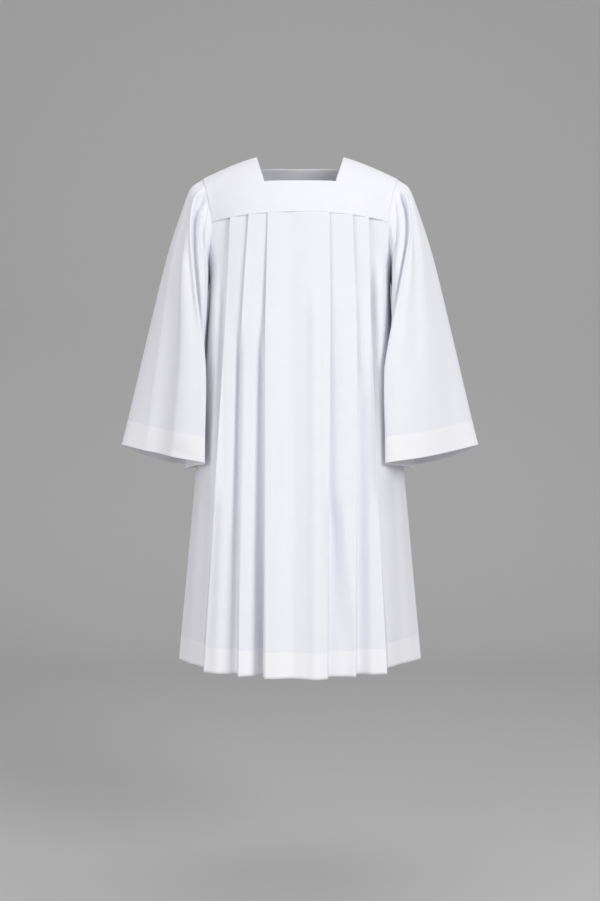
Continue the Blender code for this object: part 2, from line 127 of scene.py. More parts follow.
BACK_CREASES = (
    (-0.0500, -0.470, -0.0420, -1.036, 0.018, 0.029,  0.0060),
    ( 0.0100, -0.400,  0.0140, -1.036, 0.022, 0.035,  0.0065),
    ( 0.0860, -0.330,  0.0960, -1.036, 0.014, 0.024,  0.0045),
    (-0.0870, -0.260, -0.0900, -0.900, 0.016, 0.022, -0.0030),
    (-0.1280, -0.420, -0.1500, -1.036, 0.016, 0.024,  0.0045),
    ( 0.1330, -0.240,  0.1580, -1.000, 0.014, 0.022,  0.0035),
    (-0.1700, -0.300, -0.2140, -1.036, 0.014, 0.022,  0.0055),
    ( 0.1750, -0.350,  0.2180, -1.036, 0.014, 0.022,  0.0060),
    (-0.1600, -0.155, -0.1640, -0.320, 0.013, 0.016,  0.0030),
    ( 0.1580, -0.150,  0.1660, -0.290, 0.013, 0.016,  0.0035),
)

# Yoke rows from the shoulder seam to the yoke seam: the neck edge, the armhole edge, and
# the depth and height on the centre line, which the neck opening leaves out above its corner
#    neck x   neck y   neck z    arm x    arm y    arm z   centre y centre z
FRONT_YOKE = (
    (0.0895,  0.0000,  0.0000, 0.2014,  0.0000, -0.0455,  0.0000,  0.0130),
    (0.0856, -0.0300, -0.0160, 0.1965, -0.0290, -0.0620, -0.0310, -0.0060),
    (0.0792, -0.0585, -0.0395, 0.1895, -0.0500, -0.0870, -0.0610, -0.0330),
    (0.0720, -0.0815, -0.0660, 0.1838, -0.0640, -0.1130, -0.0850, -0.0650),
    (0.0725, -0.1060, -0.1000, 0.1800, -0.0710, -0.1310, -0.1100, -0.0990),
)
BACK_YOKE = (
    (0.0895,  0.0000,  0.0000, 0.2014,  0.0000, -0.0455,  0.0000,  0.0130),
    (0.0870,  0.0200, -0.0030, 0.1965,  0.0260, -0.0610,  0.0200,  0.0060),
    (0.0845,  0.0380, -0.0080, 0.1895,  0.0470, -0.0850,  0.0390, -0.0010),
    (0.0820,  0.0540, -0.0150, 0.1838,  0.0620, -0.1110,  0.0570, -0.0130),
    (0.0780,  0.0890, -0.0700, 0.1800,  0.0700, -0.1310,  0.0950, -0.0690),
)
CORNER_ROW = 3          # the row that ends the neck opening
YOKE_NECK_X = 0.073     # where the neck column meets the yoke seam

# Sleeve rings from the armhole to the cuff, x, y and z of: under, hollow, fold / face,
# side, outer edge / side behind, face behind, fold behind / hollow behind
SLEEVE = (
    ((0.1915, 0.000, -0.2760), (0.1890, -0.0800, -0.1960), (0.2130, -0.0610, -0.1080),
     (0.2190, -0.044, -0.0890), (0.2230, -0.0230, -0.0730), (0.2245, 0.0000, -0.0655),
     (0.2230, 0.024, -0.0730), (0.2190, 0.0440, -0.0890), (0.2120, 0.0610, -0.1080),
     (0.1920, 0.0760, -0.1980)),
    ((0.1945, 0.000, -0.3090), (0.1860, -0.0860, -0.2500), (0.2180, -0.0840, -0.1750),
     (0.2300, -0.068, -0.1480), (0.2395, -0.0340, -0.1210), (0.2430, 0.0000, -0.1100),
     (0.2395, 0.036, -0.1210), (0.2300, 0.0700, -0.1490), (0.2160, 0.0860, -0.1780),
     (0.1940, 0.0800, -0.2450)),
    ((0.2030, 0.000, -0.3800), (0.1870, -0.0900, -0.3330), (0.2070, -0.1080, -0.2900),
     (0.2370, -0.093, -0.2560), (0.2630, -0.0460, -0.2230), (0.2745, 0.0000, -0.2080),
     (0.2640, 0.050, -0.2280), (0.2380, 0.0980, -0.2660), (0.2060, 0.1130, -0.3020),
     (0.1965, 0.0800, -0.3430)),
    ((0.2170, 0.000, -0.4900), (0.1970, -0.0860, -0.4550), (0.1885, -0.1200, -0.4400),
     (0.2380, -0.106, -0.4150), (0.2850, -0.0570, -0.3790), (0.3100, 0.0000, -0.3520),
     (0.2870, 0.062, -0.3890), (0.2430, 0.1130, -0.4330), (0.1990, 0.1260, -0.4600),
     (0.2050, 0.0800, -0.4670)),
    ((0.2330, 0.000, -0.5930), (0.2100, -0.0780, -0.5850), (0.1888, -0.1220, -0.5790),
     (0.2490, -0.105, -0.5690), (0.3070, -0.0590, -0.5550), (0.3555, 0.0000, -0.5440),
     (0.3110, 0.064, -0.5700), (0.2560, 0.1140, -0.5830), (0.2030, 0.1330, -0.5850),
     (0.2160, 0.0780, -0.5890)),
    ((0.2370, 0.000, -0.6440), (0.2150, -0.0760, -0.6370), (0.1888, -0.1220, -0.6310),
     (0.2530, -0.104, -0.6190), (0.3140, -0.0580, -0.6060), (0.3686, 0.0000, -0.5950),
     (0.3180, 0.064, -0.6210), (0.2600, 0.1150, -0.6340), (0.2050, 0.1350, -0.6370),
     (0.2195, 0.0780, -0.6410)),
)
#              point  inwards  forwards
RIGHT_FRONT = ((1,     0.008,   0.004),
               (2,     0.021,   0.012),
               (3,     0.006,   0.010))
SHOULDER_RUN = 6.0
# Where the points of a ring start on the armhole: 0 is the underarm, 1 the yoke's end and
# SHOULDER_RUN the shoulder, so that most of the sleeve's width is gathered into its top
HEAD_RUN = (0.0, 1.0, 4.55, 5.0, 5.55, 6.0, 5.55, 5.0, 4.55, 1.0)
SLEEVE_OUT = -0.0014    # the sleeve's first ring lies this far inside the armhole's edge

# Sleeve folds, listed one by one. Where each runs round the ring and down the rows, half width in
# ring points, and depth: + is a trough, - a ridge
#      ring0  row0   ring1  row1   wide0  wide1  depth
LEFT_FOLDS = (
    (2.12, 0.10, 2.04, 3.80, 0.25, 0.26, -0.0058),
    (1.84, 0.05, 1.72, 3.80, 0.19, 0.21,  0.0130),
    (1.50, 0.10, 1.28, 3.00, 0.21, 0.24, -0.0042),
    (1.62, 0.00, 0.84, 1.95, 0.14, 0.19,  0.0055),
    (1.05, 0.10, 0.60, 2.20, 0.20, 0.24, -0.0022),
    (2.60, 0.00, 2.70, 0.90, 0.20, 0.26,  0.0012),
    (3.35, 1.10, 3.55, 6.50, 0.52, 0.54,  0.0085),
    (2.85, 2.40, 2.75, 5.80, 0.45, 0.57, -0.0040),
    (4.20, 0.00, 4.35, 1.80, 0.45, 0.45, -0.0012),
    (5.60, 0.05, 5.80, 2.80, 0.42, 0.45,  0.0035),
    (6.50, 0.80, 6.40, 6.50, 0.48, 0.60,  0.0080),
    (7.30, 0.30, 7.20, 5.00, 0.36, 0.45, -0.0050),
    (8.12, 0.25, 8.30, 3.40, 0.26, 0.30,  0.0060),
    (8.48, 0.05, 8.70, 2.70, 0.24, 0.26, -0.0035),
    (8.62, 0.00, 9.20, 2.10, 0.16, 0.20,  0.0045),
    (9.40, 1.60, 9.50, 5.40, 0.38, 0.45,  0.0040),
)
RIGHT_FOLDS = (
    (2.28, 0.30, 2.04, 3.80, 0.26, 0.26, -0.0036),
    (2.02, 0.25, 1.62, 4.00, 0.20, 0.23,  0.0110),
    (1.66, 0.25, 1.24, 2.70, 0.24, 0.26, -0.0034),
    (1.82, 0.00, 0.78, 1.80, 0.14, 0.20,  0.0045),
    (1.20, 0.10, 0.55, 2.10, 0.18, 0.22, -0.0020),
    (2.52, 0.00, 2.40, 0.75, 0.15, 0.18,  0.0016),
    (2.86, 0.00, 2.90, 0.60, 0.14, 0.18, -0.0010),
    (3.15, 1.00, 2.90, 4.60, 0.45, 0.52,  0.0058),
    (2.60, 3.40, 2.60, 6.50, 0.50, 0.56, -0.0030),
    (4.30, 0.00, 4.30, 1.60, 0.45, 0.45, -0.0010),
    (5.70, 0.10, 5.70, 3.40, 0.45, 0.45,  0.0040),
    (6.60, 0.60, 6.55, 6.50, 0.45, 0.60,  0.0075),
    (7.20, 0.30, 7.35, 5.40, 0.33, 0.45, -0.0040),
    (8.02, 0.25, 8.26, 3.60, 0.26, 0.30,  0.0058),
    (8.42, 0.00, 8.62, 2.80, 0.22, 0.24, -0.0034),
    (8.56, 0.00, 9.25, 2.30, 0.16, 0.20,  0.0042),
    (9.45, 1.40, 9.50, 5.60, 0.38, 0.45,  0.0045),
)


# ---- helpers -------------------------------------------------------------------------------
def mix(a, b, t):
    return a + (b - a) * t


def along(keys, values, at):
    """Smooth reading of a table: a cubic through the rows, with the slopes of its chords."""
    step = 1 if keys[-1] > keys[0] else -1
    last = len(keys) - 2
    k = 0
    while k < last and step * at > step * keys[k + 1]:
        k += 1
    width = keys[k + 1] - keys[k]
    t = min(1.0, max(0.0, (at - keys[k]) / width))
    chord = (values[k + 1] - values[k]) / width
    before = (values[k] - values[k - 1]) / (keys[k] - keys[k - 1]) if k > 0 else chord
    after = (values[k + 2] - values[k + 1]) / (keys[k + 2] - keys[k + 1]) if k < last else chord
    start = 0.5 * (before + chord) * width
    end = 0.5 * (chord + after) * width
    return ((2 * t**3 - 3 * t**2 + 1) * values[k] + (t**3 - 2 * t**2 + t) * start
            + (3 * t**2 - 2 * t**3) * values[k + 1] + (t**3 - t**2) * end)


def hump(distance, wide):
    """1 on a crease's line, easing to 0 at its edges."""
    t = np.clip(np.abs(distance) / wide, 0.0, 1.0)
    return (1 - t * t) ** 2


BODY_KEYS = [row[0] for row in BODY]
BODY_COLUMNS = [[row[c] for row in BODY] for c in range(1, 5)]


def section(z, back):
    z = min(BODY_KEYS[0], max(BODY_KEYS[-1], z))
    width, front, behind, power = (along(BODY_KEYS, column, z) for column in BODY_COLUMNS)
    return width, behind if back else front, power


def depth_at(x, z, back):
    width, depth, power = section(z, back)
    return depth * max(0.0, 1 - (abs(x) / width) ** power) ** (1 / power)


def width_at(y, z, back):
    width, depth, power = section(z, back)
    return width * max(0.0, 1 - (abs(y) / depth) ** power) ** (1 / power)


def openness(z):
    return min(1.0, max(0.0, (SEAM_Z - z) / (SEAM_Z - HEM_Z)))


def seam_z(x):
    return SEAM_Z - SEAM_DROP * (abs(x) / YOKE_END_X) ** 2


# ---- the body's pleated section --------------------------------------------------------------
OPENED = 0.004              # how far a pleat's step leans open at the hem
ROLL_REACH = 2.6            # length of a fold's curve, in rolls
SWELL_GROWTH = 0.7          # how soon below the yoke the panels between the pleats swell out
SWELL_ROUND = 1.4           # how peaked that swell is across a panel
SIDE_AIM = 0.2              # share of the side at which the last step's end points
ROLL_POINTS = 6
UNDERLAY_POINTS = 4
PANEL_POINTS = 16
SIDE_POINTS = 44
CENTRE_POINTS = 46
YOKE_END_STEP = 0.36        # share of the side columns that start on the yoke seam
SIDE_START_X = 0.142        # where they leave the last pleat at the yoke
SIDE_SWELL = 0.002          # how far the hem swells out between the last pleat and the side
SIDE_FALL = 1.25            # how soon below the armhole the side hangs flat


def curve(start, start_way, end, end_way, reach, count):
    """Points after start, up to end, on a curve that leaves and arrives along two ways."""
    points = []
    for k in range(1, count + 1):
        t = k / count
        a = 2 * t**3 - 3 * t**2 + 1
        b = (t**3 - 2 * t**2 + t) * reach
        c = 3 * t**2 - 2 * t**3
        d = (t**3 - t**2) * reach
        points.append(a * start + b * start_way + c * end + d * end_way)
    return points


def fold_edge(fold, z, back):
    """Plan point of a pleat's folded edge."""
    x = along((SEAM_Z, MIDDLE_Z, HEM_Z), fold[:3], z)
    return np.array((x, depth_at(x, z, back)))


def unit(v):
    return v / np.hypot(*v)


def half_section(folds, z, back):
    """Plan points of one half of a panel from the centre panel's edge to the last step."""
    w = openness(z)
    roll = mix(ROLL, ROLL_HEM, w)
    points = []
    start = np.array((0.0, depth_at(0.0, z, back)))
    for k, (_, _, _, step, underlay, swell) in enumerate(folds):
        edge = fold_edge(folds[k], z, back)
        under = edge - (0.0, LAYER)
        inner = under + (mix(-underlay * (1 - w) ** 0.5, OPENED, w), -mix(LAYER, step, w))
        after = inner - (0.0, LAYER)
        panel = unit(edge - start)
        fall = unit(inner - under)
        if k + 1 < len(folds):
            target = fold_edge(folds[k + 1], z, back)
        else:
            target = side_point(SIDE_AIM, z, back, after)
        leave = unit(target - after)
        rim = edge - panel * roll
        if k == 0:
            points.append(rim)
        else:
            first = points[-1]
            lift = np.array((-panel[1], panel[0])) * swell * w**SWELL_GROWTH
            for n in range(1, PANEL_POINTS + 1):
                t = n / PANEL_POINTS
                points.append(mix(first, rim, t) + lift * math.sin(math.pi * t) ** SWELL_ROUND)
        reach = roll * ROLL_REACH
        points += curve(rim, panel, under + fall * roll, fall, reach, ROLL_POINTS)
        first = points[-1]
        for n in range(1, UNDERLAY_POINTS + 1):
            points.append(mix(first, inner - fall * roll, n / UNDERLAY_POINTS))
        points += curve(points[-1], fall, after + leave * roll, leave, reach, ROLL_POINTS)
        start = after
    return points, start


def armhole(share, back):
    """Lower half of the armhole, depth and height, from the yoke's end at 0 to the
    underarm at 1."""
    turn = share * math.pi / 2
    reach = depth_at(YOKE_END_X, SEAM_Z, back)
    low = SEAM_Z - SEAM_DROP
    deep, high = ARMHOLE_ROUND
    return reach * math.cos(turn) ** deep, mix(low, UNDERARM_Z, math.sin(turn) ** high)


def side_top(share, back):
    """Where a side column starts, on the yoke seam or the armhole: x, depth, height."""
    if share <= YOKE_END_STEP:
        x = mix(SIDE_START_X, YOKE_END_X, share / YOKE_END_STEP)
        return x, depth_at(x, SEAM_Z, back), seam_z(x)
    depth, z = armhole((share - YOKE_END_STEP) / (1 - YOKE_END_STEP), back)
    return width_at(depth, z, back), depth, z


def side_point(share, z, back, after):
    """A point between the last pleat and the side seam: on the body's round section where
    its column starts, and on a flatter line from the pleat to the side lower down."""
    width, depth, power = section(z, back)
    top_x, top_depth, top_z = side_top(share, back)
    fallen = min(1.0, max(0.0, (top_z - z) / (top_z - HEM_Z)))
    fallen = 1 - (1 - fallen) ** SIDE_FALL
    top_width, top_reach, top_power = section(top_z, back)
    top_turn = math.atan2((top_x / top_width) ** (top_power / 2),
                          (top_depth / top_reach) ** (top_power / 2))
    turn = mix(top_turn, math.pi / 2, fallen * share)
    near = max(0.0, 1 - share / YOKE_END_STEP)
    round_x = width * math.sin(turn) ** (2 / power)
    round_y = depth * max(0.0, math.cos(turn)) ** (2 / power)
    round_y -= (depth_at(after[0], z, back) - after[1]) * near
    reach = (width - after[0], -after[1])
    swell = SIDE_SWELL * math.sin(math.pi * share) / math.hypot(*reach)
    flat_x = after[0] + reach[0] * share - reach[1] * swell
    flat_y = after[1] + reach[1] * share + reach[0] * swell
    return np.array((mix(round_x, flat_x, fallen), mix(round_y, flat_y, fallen)))


SIDE_STEPS = [(k + 1) / SIDE_POINTS for k in range(SIDE_POINTS)]


def panel_section(left, right, z, back):
    """Plan points of a whole panel at one height, y as depth."""
    halves = []
    for folds in (left, right):
        points, after = half_section(folds, z, back)
        points += [side_point(share, z, back, after) for share in SIDE_STEPS]
        halves.append(points)
    w = openness(z)
    half = mix(*VALLEY_HALF, w)
    dip = mix(*VALLEY_DEPTH, w)
    edges = (halves[0][0][0], halves[1][0][0])
    centre = []
    for k in range(1, CENTRE_POINTS):
        x = mix(-edges[0], edges[1], k / CENTRE_POINTS)
        y = depth_at(x, z, back) - dip * math.exp(-((x - VALLEY_X) / half) ** 2)
        centre.append((x, y))
    return np.array([(-x, y) for x, y in reversed(halves[0])] + centre + list(halves[1]))


# ---- cloth ---------------------------------------------------------------------------------------
def cloth(name, places, layers, finish, closed=False, gone=None, wall=CLOTH):
    """A fine grid of cloth through rows of places, with its wall and a map in metres.
    layers is how many layers of cloth show at each row, 1 or 2."""
    rows, columns = places.shape[:2]
    bm = bmesh.new()
    bmesh.ops.create_grid(bm, x_segments=columns - 1, y_segments=rows - 1, size=1.0)
    bm.verts.ensure_lookup_table()
    flat = np.array([v.co[:2] for v in bm.verts])
    column = np.rint((flat[:, 0] + 1) / 2 * (columns - 1)).astype(int)
    row = np.rint((1 - flat[:, 1]) / 2 * (rows - 1)).astype(int)
    steps = np.linalg.norm(np.diff(places[rows // 2], axis=0), axis=1)
    across = np.concatenate(([0.0], np.cumsum(steps)))
    steps = np.linalg.norm(np.diff(places[:, columns // 2], axis=0), axis=1)
    down = np.concatenate(([0.0], np.cumsum(steps)))
    uv = bm.loops.layers.uv.new("cloth")
    doubled = bm.verts.layers.float.new("layers")
    for k, vert in enumerate(bm.verts):
        vert.co = places[row[k], column[k]]
        vert[doubled] = layers[row[k]]
    for face in bm.faces:
        for loop in face.loops:
            k = loop.vert.index
            loop[uv].uv = (across[column[k]], down[row[k]])
    if gone is not None:
        left_out = [f for f in bm.faces
                    if gone(min(row[v.index] for v in f.verts), min(column[v.index] for v in f.verts))]
        bmesh.ops.delete(bm, geom=left_out, context="FACES")
    if closed:
        bmesh.ops.remove_doubles(bm, verts=bm.verts, dist=MERGE)
    bmesh.ops.recalc_face_normals(bm, faces=bm.faces)
    mesh = bpy.data.meshes.new(name)
    bm.to_mesh(mesh)
    bm.free()
    mesh.shade_smooth()
    piece = bpy.data.objects.new(name, mesh)
    bpy.context.collection.objects.link(piece)
    mesh.materials.append(finish)
    shell = piece.modifiers.new("Wall", "SOLIDIFY")
    shell.thickness = wall
    shell.offset = 0.0
    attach(piece, "root")
    return piece


CREASE_FADE = 0.10          # height over which a crease sets in, and dies out above the hem
CREASE_RUN = (-0.2, 1.2)    # shares of its line between which a crease follows it
NEAR_HEM = 0.01             # a crease that ends nearer to the hem than this runs through it


def creased(x, y, z, creases):
    """Depth of the cloth after its hand-placed troughs and ridges."""
    for x0, z0, x1, z1, wide0, wide1, depth in creases:
        t = np.clip((z - z0) / (z1 - z0), *CREASE_RUN)
        fade = np.clip((z0 - z) / CREASE_FADE, 0.0, 1.0)
        if z1 > HEM_Z + NEAR_HEM:
            fade = fade * np.clip((z - z1) / CREASE_FADE, 0.0, 1.0)
        fade = fade * fade * (3 - 2 * fade)
        y = y - depth * fade * hump(x - mix(x0, x1, t), mix(wide0, wide1, t))
    return y


PANEL_LEVELS = 64
PANEL_ROWS = 118
ROW_EASE = 1.12             # rows lie a little closer at the yoke
HEM_ROWS = 9
HEM_EDGE = 0.012            # share of the hem over which its doubled cloth sets in


def panel_places(left, right, creases, back):
    """Places of a panel's cloth, row by row from the yoke and armholes to the hem."""
    levels = np.linspace(SEAM_Z, HEM_Z, PANEL_LEVELS)
    plans = np.array([panel_section(left, right, z, back) for z in levels])
    count = plans.shape[1]
    tops = np.array([seam_z(x) + TUCK for x, _ in plans[0]])
    for k, share in enumerate(reversed(SIDE_STEPS)):
        height = side_top(share, back)[2]
        if share <= YOKE_END_STEP:
            height += TUCK
        tops[k] = height
        tops[count - 1 - k] = height
    shares = np.linspace(0.0, 1.0, PANEL_ROWS - HEM_ROWS - 1) ** ROW_EASE
    hem_top = HEM_Z + HEM_DEPTH
    hem_shares = [HEM_EDGE] + [k / HEM_ROWS for k in range(1, HEM_ROWS)] + [1.0]
    heights = np.array([mix(tops, hem_top, share) for share in shares[:-1]]
                       + [np.full(count, hem_top)]
                       + [np.full(count, mix(hem_top, HEM_Z, share)) for share in hem_shares])
    places = np.empty((PANEL_ROWS, count, 3))
    for c in range(count):
        places[:, c, 0] = np.interp(-heights[:, c], -levels, plans[:, c, 0])
        places[:, c, 1] = np.interp(-heights[:, c], -levels, plans[:, c, 1])
    places[..., 2] = heights
    tucked = np.clip((heights - np.array([seam_z(x) for x in plans[0, :, 0]])) / TUCK + 0.5, 0, 1)
    places[..., 1] -= TUCK_DEPTH * tucked
    places[..., 1] = creased(places[..., 0], places[..., 1], heights, creases)
    if not back:
        places[..., 1] *= -1
    return places


def panel(name, left, right, creases, back, nodes):
    places = panel_places(left, right, creases, back)
    layers = np.ones(PANEL_ROWS)
    layers[-HEM_ROWS - 1:] = 2.0
    piece = cloth(name, places, layers, poly_cotton)
    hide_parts(*nodes)
    return piece


YOKE_STRAP = 40         # columns from the armhole to the neck
YOKE_BAND = 60          # columns between the neck's corners
YOKE_ROWS = 14          # rows between two rows of the table
YOKE_LIFT = 0.0003      # how far the yoke's edge stands out from the pleats below it
YOKE_DIP = 9            # how close to its edge the yoke starts to follow those pleats
YOKE_LAYERS = 1.1       # the yoke's seam allowances make it a little whiter than one layer


def even_curve(x, centre, first_x, first, second_x, second):
    """A curve level on the centre line that passes through two more points."""
    p = (first - centre) / first_x**2
    q = (second - centre) / second_x**2
    bend = (q - p) / (second_x**2 - first_x**2)
    return centre + x * x * (p + bend * (x * x - first_x**2))


def outer_depth(plan, x):
    """Depth of the outermost layer of a panel's section at x."""
    first = plan[:-1]
    last = plan[1:]
    crossing = (np.minimum(first[:, 0], last[:, 0]) <= x) & (np.maximum(first[:, 0], last[:, 0]) > x)
    a = first[crossing]
    b = last[crossing]
    return (a[:, 1] + (b[:, 1] - a[:, 1]) * (x - a[:, 0]) / (b[:, 0] - a[:, 0])).max()


def yoke_places(rows, back):
    """Places of a yoke, row by row from the shoulder seam to the yoke seam, where it follows
    the pleats caught in the seam."""
    way = 1 if back else -1
    folds = (BACK_LEFT, BACK_RIGHT) if back else (FRONT_LEFT, FRONT_RIGHT)
    plan = panel_section(*folds, SEAM_Z, back)
    ends = [(x, depth_at(x, SEAM_Z, back) * way, seam_z(x)) for x in (YOKE_NECK_X, YOKE_END_X)]
    seam_row = ends[0] + ends[1] + (depth_at(0.0, SEAM_Z, back) * way, SEAM_Z)
    rows = rows + (seam_row,)
    keys = list(range(len(rows)))
    columns = [[row[c] for row in rows] for c in range(8)]
    places = []
    for k in range((len(rows) - 1) * YOKE_ROWS + 1):
        at = k / YOKE_ROWS
        neck_x, neck_y, neck_z, arm_x, arm_y, arm_z, mid_y, mid_z = (
            along(keys, c, at) for c in columns)
        low = max(0.0, at - (len(rows) - 2)) ** 2
        strap = [mix(arm_x, neck_x, n / YOKE_STRAP) for n in range(YOKE_STRAP)]
        band = [neck_x * (2 * n / YOKE_BAND - 1) for n in range(YOKE_BAND + 1)]
        line = []
        for x in [-x for x in strap] + band + strap[::-1]:
            y = even_curve(x, mid_y, neck_x, neck_y, arm_x, arm_y)
            z = even_curve(x, mid_z, neck_x, neck_z, arm_x, arm_z)
            sunk = depth_at(x, SEAM_Z, back) - outer_depth(plan, x) - YOKE_LIFT
            y = mix(y, depth_at(x, SEAM_Z, back) * way, low) - way * sunk * low**YOKE_DIP
            line.append((x, y, mix(z, seam_z(x), low)))
        places.append(line)
    return np.array(places)


def yoke(name, places):
    first = YOKE_STRAP
    last = first + YOKE_BAND
    corner = CORNER_ROW * YOKE_ROWS
    piece = cloth(name + "_cloth", places, np.full(len(places), YOKE_LAYERS), poly_cotton,
                  gone=lambda r, c: r < corner and first <= c < last)
    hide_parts(name)
    return piece


RING_STEPS = 30
SLEEVE_ROWS = 26        # rows between two rings of the table
RIGHT_FROM = 2          # ring below which the right sleeve's front starts to move
RIGHT_FULL = 4          # and the ring from which it is moved in full
FOLD_START = 0.5        # rings over which a fold sets in
FOLD_END = 0.8          # and over which it dies out


def first_ring():
    """The armhole as a sleeve ring, on the yokes' edges and the panels'."""
    ring = []
    count = len(HEAD_RUN)
    for column in range(count * RING_STEPS):
        point, step = divmod(column, RING_STEPS)
        run = mix(HEAD_RUN[point], HEAD_RUN[(point + 1) % count], step / RING_STEPS)
        back = column > count * RING_STEPS // 2
        if run <= 1:
            depth, z = armhole(1 - run, back)
            ring.append((width_at(depth, z, back), depth if back else -depth, z))
        else:
            edge = (back_yoke_places if back else front_yoke_places)[:, -1]
            rows = np.arange(len(edge))
            ring.append([np.interp((SHOULDER_RUN - run) * YOKE_ROWS, rows, edge[:, axis])
                         for axis in range(3)])
    return np.array(ring)


def ring_at(row, side):
    """The points of a sleeve ring between the armhole at 0 and the table's rings."""
    rings = [first_ring()[::RING_STEPS]] + list(SLEEVE)
    keys = list(range(len(rings)))
    ring = []
    for point in range(len(HEAD_RUN)):
        ring.append([along(keys, [rings[k][point][axis] for k in keys], row)
                     for axis in range(3)])
    if side > 0:
        share = min(1.0, max(0.0, (row - RIGHT_FROM) / (RIGHT_FULL - RIGHT_FROM)))
        for point, inwards, forwards in RIGHT_FRONT:
            ring[point][0] -= inwards * share
            ring[point][1] -= forwards * share
    return np.array(ring)


def round_ring(points):
    count = len(points)
    curve_points = []
    for k in range(count):
        a, b, c, d = (points[(k + step) % count] for step in (-1, 0, 1, 2))
        for step in range(RING_STEPS):
            t = step / RING_STEPS
            curve_points.append(0.5 * (2 * b + (c - a) * t + (2 * a - 5 * b + 4 * c - d) * t * t
                                       + (3 * b - a - 3 * c + d) * t**3))
    return np.array(curve_points)


def sleeve_places(side, folds, rows):
    """Places of a sleeve's cloth, its last column the same as its first."""
    armhole_ring = first_ring()
    start = round_ring(ring_at(0, side))
    places = []
    for row in rows:
        hold = max(0.0, 1 - row)
        ring = round_ring(ring_at(row, side)) + (armhole_ring - start) * hold**2
        ring[:, 0] += SLEEVE_OUT * hold
        places.append(ring)
    places = np.array(places)
    count = places.shape[1]
    around = np.arange(count) / RING_STEPS
    ahead = np.roll(places, -1, axis=1) - np.roll(places, 1, axis=1)
    down = np.gradient(places, axis=0)
    normal = np.cross(down, ahead)
    normal /= np.maximum(np.linalg.norm(normal, axis=2, keepdims=True), TINY)
    row = np.array(rows)[:, None]
    push = np.zeros(places.shape[:2])
    points = len(HEAD_RUN)
    for ring0, row0, ring1, row1, wide0, wide1, depth in folds:
        t = np.clip((row - row0) / (row1 - row0), 0.0, 1.0)
        at = mix(ring0, ring1, t)
        away = (around[None, :] - at + points / 2) % points - points / 2
        fade = np.clip((row - row0) / FOLD_START, 0.0, 1.0)
        if row1 < len(SLEEVE):
            fade = fade * np.clip((row1 - row) / FOLD_END, 0.0, 1.0)
        fade = fade * fade * (3 - 2 * fade)
        push += depth * fade * hump(away, mix(wide0, wide1, t))
    places = places - normal * push[..., None]
    places[..., 0] *= side
    return np.concatenate((places, places[:, :1]), axis=1)


def sleeve(name, side, folds, cuff):
    count = len(SLEEVE) * SLEEVE_ROWS
    rows = sorted([k / SLEEVE_ROWS for k in range(count + 1)] + [CUFF_SHARE + HEM_EDGE])
    places = sleeve_places(side, folds, rows)
    layers = np.where(np.array(rows) > CUFF_SHARE + HEM_EDGE / 2, 2.0, 1.0)
    piece = cloth(name + "_cloth", places, layers, poly_cotton, closed=True)
    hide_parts(name, cuff)
    return piece


# ---- materials --------------------------------------------------------------------------------------
def linear(code):
    """sRGB hex to linear colour."""
    values = [int(code[k:k + 2], 16) / 255 for k in (1, 3, 5)]
    return tuple(v / 12.92 if v <= 0.04045 else ((v + 0.055) / 1.055) ** 2.4 for v in values) + (1.0,)


def add(tree, kind, inputs=(), **settings):
    """A node with its settings, and its inputs given as values or as links."""
    made = tree.nodes.new(kind)
    for key, value in settings.items():
        setattr(made, key, value)
    for key, value in dict(inputs).items():
        if isinstance(value, bpy.types.NodeSocket):
            tree.links.new(value, made.inputs[key])
        else:
            made.inputs[key].default_value = value
    return made


